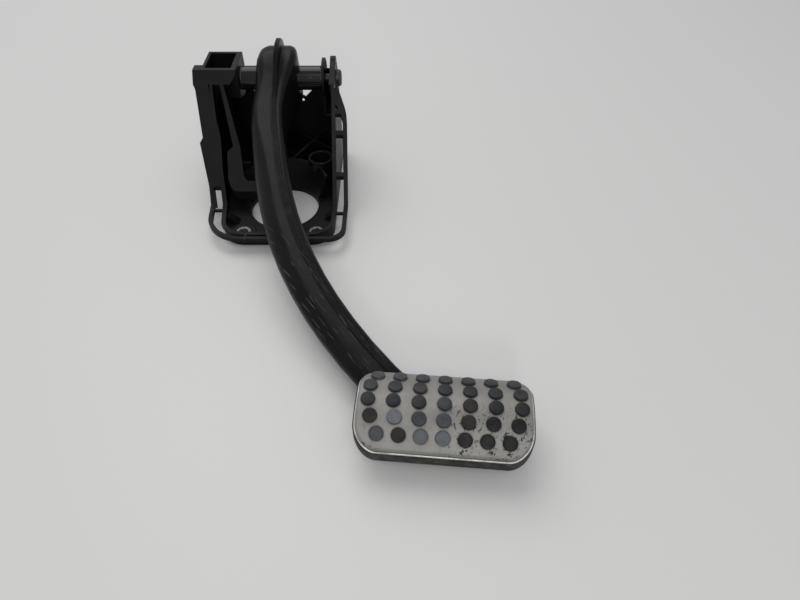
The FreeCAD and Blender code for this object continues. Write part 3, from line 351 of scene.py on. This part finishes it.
# Studs: round rubber buttons of the same mat, standing through the cover in five rows of seven.
# Shoes have polished a few in front pale grey. The back rows carry a painted sheen, a painted
# reflection in pale bluish grey that grows towards the back row and the left. The right-hand ones
# are still black.
PAD_CENTRE = (0.1453, -0.263, 0.043)
PAD_TURN = math.radians(-5)
PAD_TILT = math.radians(4)
PAD_FRAME = (Matrix.Translation(PAD_CENTRE) @ Matrix.Rotation(PAD_TURN, 4, "Z")
             @ Matrix.Rotation(PAD_TILT, 4, "X"))
PAD_RADIUS = 0.0435
STUD_PITCH = 0.0116
STUD_SPANS = (0.088, 0.0985, 0.1035, 0.1025, 0.095)
MIDDLE_ROW = 2
STUD_COLUMNS = 7
STUD_SIZES = {"Radius": 0.00478, "Height": 0.0038, "Dome": 0.0004}
STUD_SIDES = 40
STUD_SIDE_STEPS = 4
STUD_TOP_STEPS = 5
DOME_POWER = 4.0
STUD_CREASE = math.radians(50)
POLISHED = {
    (1, 1): 1.0, (0, 3): 0.8, (0, 2): 0.72, (1, 3): 0.42, (0, 0): 0.4, (2, 3): 0.3, (1, 2): 0.28,
}
LEAST_POLISH = 0.04
# Painted sheen, a painted reflection: the back rows are painted paler by the square of their row,
# more towards the left.
BACK_ROW_SHEEN = 0.016
LEFT_SHEEN_SHARE = 0.2
LEFT_COLUMNS = 4


# A stud's polish and painted sheen: the listed studs are polished by shoes, the rest are painted
# paler towards the back and the left.
def stud_polish_and_sheen(row, column):
    left = max(0, LEFT_COLUMNS - column)
    polish_and_sheen = LEAST_POLISH + BACK_ROW_SHEEN * row ** 2 * (1 + LEFT_SHEEN_SHARE * left)
    return POLISHED.get((row, column), polish_and_sheen)


def stud_points():
    """A point for each stud on the pad's curve, with the direction it leans in and its polish and
    painted sheen.
    """
    mesh = bpy.data.meshes.new("stud_points")
    spots, leans, polish_and_sheen_levels = [], [], []
    turn = PAD_FRAME.to_3x3()
    for row, span in enumerate(STUD_SPANS):
        angle = (row - MIDDLE_ROW) * STUD_PITCH / PAD_RADIUS
        out = Vector((0, math.sin(angle), math.cos(angle)))
        for column in range(STUD_COLUMNS):
            x = span * (column / (STUD_COLUMNS - 1) - 0.5)
            spots.append(PAD_FRAME @ (Vector((x, 0, -PAD_RADIUS)) + out * PAD_RADIUS))
            leans.append(turn @ out)
            polish_and_sheen_levels.append(stud_polish_and_sheen(row, column))
    mesh.from_pydata(spots, [], [])
    lean = mesh.attributes.new("lean", "FLOAT_VECTOR", "POINT")
    lean.data.foreach_set("vector", [part for out in leans for part in out])
    mesh.attributes.new("wear", "FLOAT", "POINT").data.foreach_set("value", polish_and_sheen_levels)
    return mesh


def stud_tree():
    """Geometry nodes: a low domed button at each point, stood on the direction it carries."""
    tree = bpy.data.node_groups.new("rubber_studs", "GeometryNodeTree")
    face = tree.interface
    face.new_socket("Geometry", in_out="INPUT", socket_type="NodeSocketGeometry")
    names = {}
    for label in STUD_SIZES:
        made = face.new_socket(label, in_out="INPUT", socket_type="NodeSocketFloat")
        names[label] = made.identifier
    made = face.new_socket("Material", in_out="INPUT", socket_type="NodeSocketMaterial")
    names["Material"] = made.identifier
    face.new_socket("Geometry", in_out="OUTPUT", socket_type="NodeSocketGeometry")
    start = tree.nodes.new("NodeGroupInput").outputs
    end = tree.nodes.new("NodeGroupOutput").inputs

    button = add_node(tree, "GeometryNodeMeshCylinder", {
        "Vertices": STUD_SIDES, "Side Segments": STUD_SIDE_STEPS, "Fill Segments": STUD_TOP_STEPS,
        "Radius": start["Radius"], "Depth": start["Height"],
    })
    where = split_node(tree, add_node(tree, "GeometryNodeInputPosition").outputs["Position"])
    flat = add_node(tree, "ShaderNodeCombineXYZ", {"X": where["X"], "Y": where["Y"]})
    length = add_node(tree, "ShaderNodeVectorMath", {0: flat.outputs["Vector"]}, operation="LENGTH")
    share = math_node(tree, "DIVIDE", length.outputs["Value"], start["Radius"])
    crown = math_node(tree, "SUBTRACT", 1.0, math_node(tree, "POWER", share, DOME_POWER))
    upper = math_node(tree, "GREATER_THAN", where["Z"], 0.0)
    rise = times(tree, times(tree, crown, start["Dome"]), upper)
    lift = add_node(tree, "ShaderNodeCombineXYZ", {"Z": rise})
    domed = add_node(tree, "GeometryNodeSetPosition", {
        "Geometry": button.outputs["Mesh"], "Offset": lift.outputs["Vector"],
    })

    lean = add_node(tree, "GeometryNodeInputNamedAttribute", {"Name": "lean"},
                    data_type="FLOAT_VECTOR")
    stand = add_node(tree, "FunctionNodeAlignRotationToVector",
                     {"Vector": lean.outputs["Attribute"]}, axis="Z")
    copies = add_node(tree, "GeometryNodeInstanceOnPoints", {
        "Points": start["Geometry"], "Instance": domed.outputs["Geometry"],
        "Rotation": stand.outputs["Rotation"],
    })
    real = add_node(tree, "GeometryNodeRealizeInstances", {"Geometry": copies.outputs["Instances"]})
    dressed = add_node(tree, "GeometryNodeSetMaterial", {
        "Geometry": real.outputs["Geometry"], "Material": start["Material"],
    })
    tree.links.new(dressed.outputs["Geometry"], end["Geometry"])
    return tree, names


STUD_BLACK = (0.0045, 0.0043, 0.0042, 1)
STUD_BROWN = (0.02, 0.0155, 0.0135, 1)
# Pale bluish grey for the polished studs and for the painted reflection on the back rows.
STUD_POLISH_AND_SHEEN = (0.14, 0.15, 0.162, 1)

stud_rubber, tree, place = new_material("polished_and_sheened_stud_rubber", Specular_IOR_Level=0.17)
# The wear attribute holds both the shoes' polish and the painted sheen of the back rows; the mix
# towards pale bluish grey paints that reflection.
worn = add_node(tree, "ShaderNodeAttribute", attribute_name="wear").outputs["Fac"]
clouds = noise_node(tree, place, scale=260.0, detail=5.0, roughness=0.65)
earth = ramp_node(tree, noise_node(tree, place, scale=45.0, detail=2.0), over=(0.48, 0.66))
dark = mix_colour(tree, earth, STUD_BLACK, STUD_BROWN)
patchy = times(tree, worn, ramp_node(tree, clouds, over=(0.25, 0.7), to=(0.7, 1.1)), clamp=True)
pores = noise_node(tree, place, scale=900.0)
link_looks(
    tree,
    Base_Color=mix_colour(tree, patchy, dark, STUD_POLISH_AND_SHEEN),
    Roughness=ramp_node(tree, clouds, over=(0.3, 0.7), to=(0.36, 0.52)),
    Normal=bump(tree, pores, strength=0.12, depth=0.0001, edge_radius=0.0007),
)

points = add_object("stud_points", stud_points())
growth = points.modifiers.new("studs", "NODES")
growth.node_group, sockets = stud_tree()
for label, value in (*STUD_SIZES.items(), ("Material", stud_rubber)):
    growth[sockets[label]] = value
evaluated = points.evaluated_get(bpy.context.evaluated_depsgraph_get())
mesh = bpy.data.meshes.new_from_object(evaluated)
mesh.name = "pad_studs"
mesh.shade_smooth()
mesh.set_sharp_from_angle(angle=STUD_CREASE)
bpy.data.objects.remove(points)
studs = add_object("pad_studs", mesh)
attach(studs, "pedal")

# Pad cover: thin stainless sheet, pressed to the pad's curve, pierced for the studs and folded at
# its edge. It is satin finished along its length, with grime and drips by the lower right studs
# and chips at its lower left corner.
STAINLESS = (0.262, 0.251, 0.231, 1)
STAINLESS_DULL = (0.203, 0.193, 0.177, 1)
GRIME = (0.018, 0.016, 0.014, 1)
GRIME_SHARE = 0.9
GRIME_MATT = 0.3
STRAY_SHARE = 0.5
BRUSH_STRETCH = (0.04, 1.0, 1.0)
DRIP_STRETCH = (1.0, 0.22, 1.0)
GRIMY_X, GRIMY_Y = (-0.012, 0.016), (0.006, -0.008)
CHIPPED_X, CHIPPED_Y = (-0.036, -0.05), (-0.0155, -0.024)


def corner_mask(tree, spot, over_x, over_y):
    """Mask of the part of the pad past both ranges, which are metres from the pad's centre."""
    beside, below = ramp_node(tree, spot["X"], over=over_x), ramp_node(tree, spot["Y"], over=over_y)
    return times(tree, beside, below)


stainless, tree, place = new_material("satin_stainless_cover", Metallic=0.3)
on_pad = mapping_node(tree, place, "TEXTURE", Location=PAD_FRAME.to_translation(),
                      Rotation=PAD_FRAME.to_euler())
spot = split_node(tree, on_pad)
brushed = mapping_node(tree, on_pad, Scale=BRUSH_STRETCH)
hairlines = noise_node(tree, brushed, scale=1800.0, detail=4.0, roughness=0.7)
clouds = noise_node(tree, on_pad, scale=48.0, detail=6.0, roughness=0.65)
clean = mix_colour(tree, ramp_node(tree, clouds, over=(0.35, 0.7)), STAINLESS, STAINLESS_DULL)
specks = noise_node(tree, on_pad, scale=420.0, detail=6.0, roughness=0.75)
drips = noise_node(tree, mapping_node(tree, on_pad, Scale=DRIP_STRETCH), scale=330.0)
splashes = math_node(tree, "MAXIMUM", ramp_node(tree, specks, over=(0.565, 0.61)),
                     ramp_node(tree, drips, over=(0.61, 0.65)))
splashes = times(tree, splashes, corner_mask(tree, spot, GRIMY_X, GRIMY_Y))
chips = noise_node(tree, on_pad, scale=260.0, detail=5.0, roughness=0.7)
chips = times(tree, ramp_node(tree, chips, over=(0.56, 0.61)),
              corner_mask(tree, spot, CHIPPED_X, CHIPPED_Y))
stray = ramp_node(tree, noise_node(tree, on_pad, scale=520.0), over=(0.7, 0.74))
dirty = math_node(tree, "MAXIMUM", math_node(tree, "MAXIMUM", splashes, chips),
                  times(tree, stray, STRAY_SHARE))
gloss = ramp_node(tree, hairlines, over=(0.3, 0.7), to=(0.44, 0.56))
link_looks(
    tree,
    Base_Color=mix_colour(tree, times(tree, dirty, GRIME_SHARE), clean, GRIME),
    Roughness=math_node(tree, "ADD", gloss, times(tree, dirty, GRIME_MATT)),
    Normal=bump(tree, hairlines, strength=0.06, depth=0.0001, edge_radius=0.0014),
)
dress(stainless, "pad_cover")

# Hem of the cover: the sheet's edge is rolled outwards into a narrow bead that stands just clear
# of the rubber. Its colour is painted much paler than the cover's face: partly a polished edge,
# mostly a painted highlight along the fold, broken into patches.
# Painted highlight colours for the hem, paler than the cover's stainless.
HEM_HIGHLIGHT = (0.56, 0.545, 0.51, 1)
HEM_HIGHLIGHT_DULL = (0.34, 0.328, 0.304, 1)
PAD_HALF = (0.059, 0.030)
PAD_CORNER = 0.015
HEM_OUT = 0.0003
HEM_DEPTH = 0.0032
HEM_RADIUS = 0.0008
CORNER_STEPS = 16
SIDE_STEPS = 40
HEM_SIDES = 12

# Paler stainless for the hem: a painted highlight along the edge, varied by the noise patches
# below.
hem_highlight_stainless, tree, place = new_material("highlit_stainless_hem", Metallic=0.45)
patches = noise_node(tree, place, scale=90.0, detail=5.0, roughness=0.65)
rubbed = ramp_node(tree, patches, over=(0.42, 0.68))
link_looks(
    tree,
    Base_Color=mix_colour(tree, rubbed, HEM_HIGHLIGHT, HEM_HIGHLIGHT_DULL),
    Roughness=ramp_node(tree, rubbed, to=(0.28, 0.45)),
)


def hem_outline():
    """Points round the pad's outline on its curve, each with its outward direction."""
    ring = []
    across, along = (half - PAD_CORNER for half in PAD_HALF)
    reach = PAD_CORNER + HEM_OUT
    corners = ((across, along), (-across, along), (-across, -along), (across, -along))
    for index, (x, y) in enumerate(corners):
        for step in range(CORNER_STEPS + 1):
            angle = math.pi / 2 * (index + step / CORNER_STEPS)
            out = Vector((math.cos(angle), math.sin(angle), 0))
            ring.append((Vector((x, y, 0)) + out * reach, out))
        ahead = Vector((*corners[(index + 1) % len(corners)], 0)) + out * reach
        spot = ring[-1][0]
        ring += [(spot.lerp(ahead, step / SIDE_STEPS), out) for step in range(1, SIDE_STEPS)]
    for spot, _ in ring:
        spot.z = math.sqrt((PAD_RADIUS - HEM_DEPTH) ** 2 - spot.y ** 2) - PAD_RADIUS
    return ring


def hem_mesh():
    """A closed round bead along the outline."""
    ring = hem_outline()
    corners, faces = [], []
    for index, (spot, out) in enumerate(ring):
        along = (ring[(index + 1) % len(ring)][0] - ring[index - 1][0]).normalized()
        side = (out - along * out.dot(along)).normalized()
        up = along.cross(side)
        here, there = index * HEM_SIDES, (index + 1) % len(ring) * HEM_SIDES
        for turn in range(HEM_SIDES):
            angle = 2 * math.pi * turn / HEM_SIDES
            round_off = (side * math.cos(angle) + up * math.sin(angle)) * HEM_RADIUS
            corners.append(PAD_FRAME @ (spot + round_off))
            after = (turn + 1) % HEM_SIDES
            faces.append((here + turn, there + turn, there + after, here + after))
    mesh = bpy.data.meshes.new("pad_hem")
    mesh.from_pydata(corners, [], faces)
    mesh.shade_smooth()
    mesh.materials.append(hem_highlight_stainless)
    return mesh


hem = add_object("pad_hem", hem_mesh())
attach(hem, "pedal")

# Studio: a plain pale floor under an even room light, with one wide soft lamp behind the part and
# two smaller ones in front of it. The camera looks down over the pad.
FLOOR_GREY = (0.64, 0.63, 0.61, 1)
FLOOR_HALF = 6.0
FLOOR_DROP = -0.0002
ROOM_COLOUR = (0.93, 0.96, 1.0, 1)
ROOM_STRENGTH = 0.48
LAMP_AIM = Vector((0.05, -0.1, 0.05))
LAMPS = (
    # name, place, side of the square, watts
    ("ceiling_panel", (-0.35, 0.95, 1.7), 1.6, 17.0),
    ("window_panel", (0.15, -1.95, 0.92), 0.28, 5.0),
    ("front_panel", (0.3, -1.3, 1.7), 0.9, 8.0),
)
SENSOR_WIDTH = 36.0
FOCAL_LENGTH = 27.9
CAMERA_PLACE = (0.1154, -0.4987, 0.3919)
CAMERA_DOWN = 46.4

sheet = bmesh.new()
bmesh.ops.create_grid(sheet, x_segments=1, y_segments=1, size=FLOOR_HALF)
mesh = bpy.data.meshes.new("floor_sheet")
sheet.to_mesh(mesh)
sheet.free()
mesh.materials.append(new_material("pale_floor", Base_Color=FLOOR_GREY, Roughness=0.45)[0])
floor = add_object("floor_sheet", mesh)
floor.location.z = FLOOR_DROP

world = bpy.data.worlds.new("soft_room")
bpy.context.scene.world = world
world.use_nodes = True
world.node_tree.nodes["Background"].inputs["Color"].default_value = ROOM_COLOUR
world.node_tree.nodes["Background"].inputs["Strength"].default_value = ROOM_STRENGTH
for name, spot, size, power in LAMPS:
    lamp = bpy.data.lights.new(name, "AREA")
    lamp.shape = "SQUARE"
    lamp.size = size
    lamp.energy = power
    light = add_object(name, lamp)
    light.location = spot
    light.rotation_euler = (LAMP_AIM - Vector(spot)).to_track_quat("-Z", "Y").to_euler()

lens = bpy.data.cameras.new("photo_camera")
lens.sensor_width = SENSOR_WIDTH
lens.lens = FOCAL_LENGTH
camera = add_object("photo_camera", lens)
camera.location = CAMERA_PLACE
camera.rotation_euler = (math.radians(90 - CAMERA_DOWN), 0, 0)
bpy.context.scene.camera = camera
bpy.context.scene.view_settings.view_transform = "Standard"
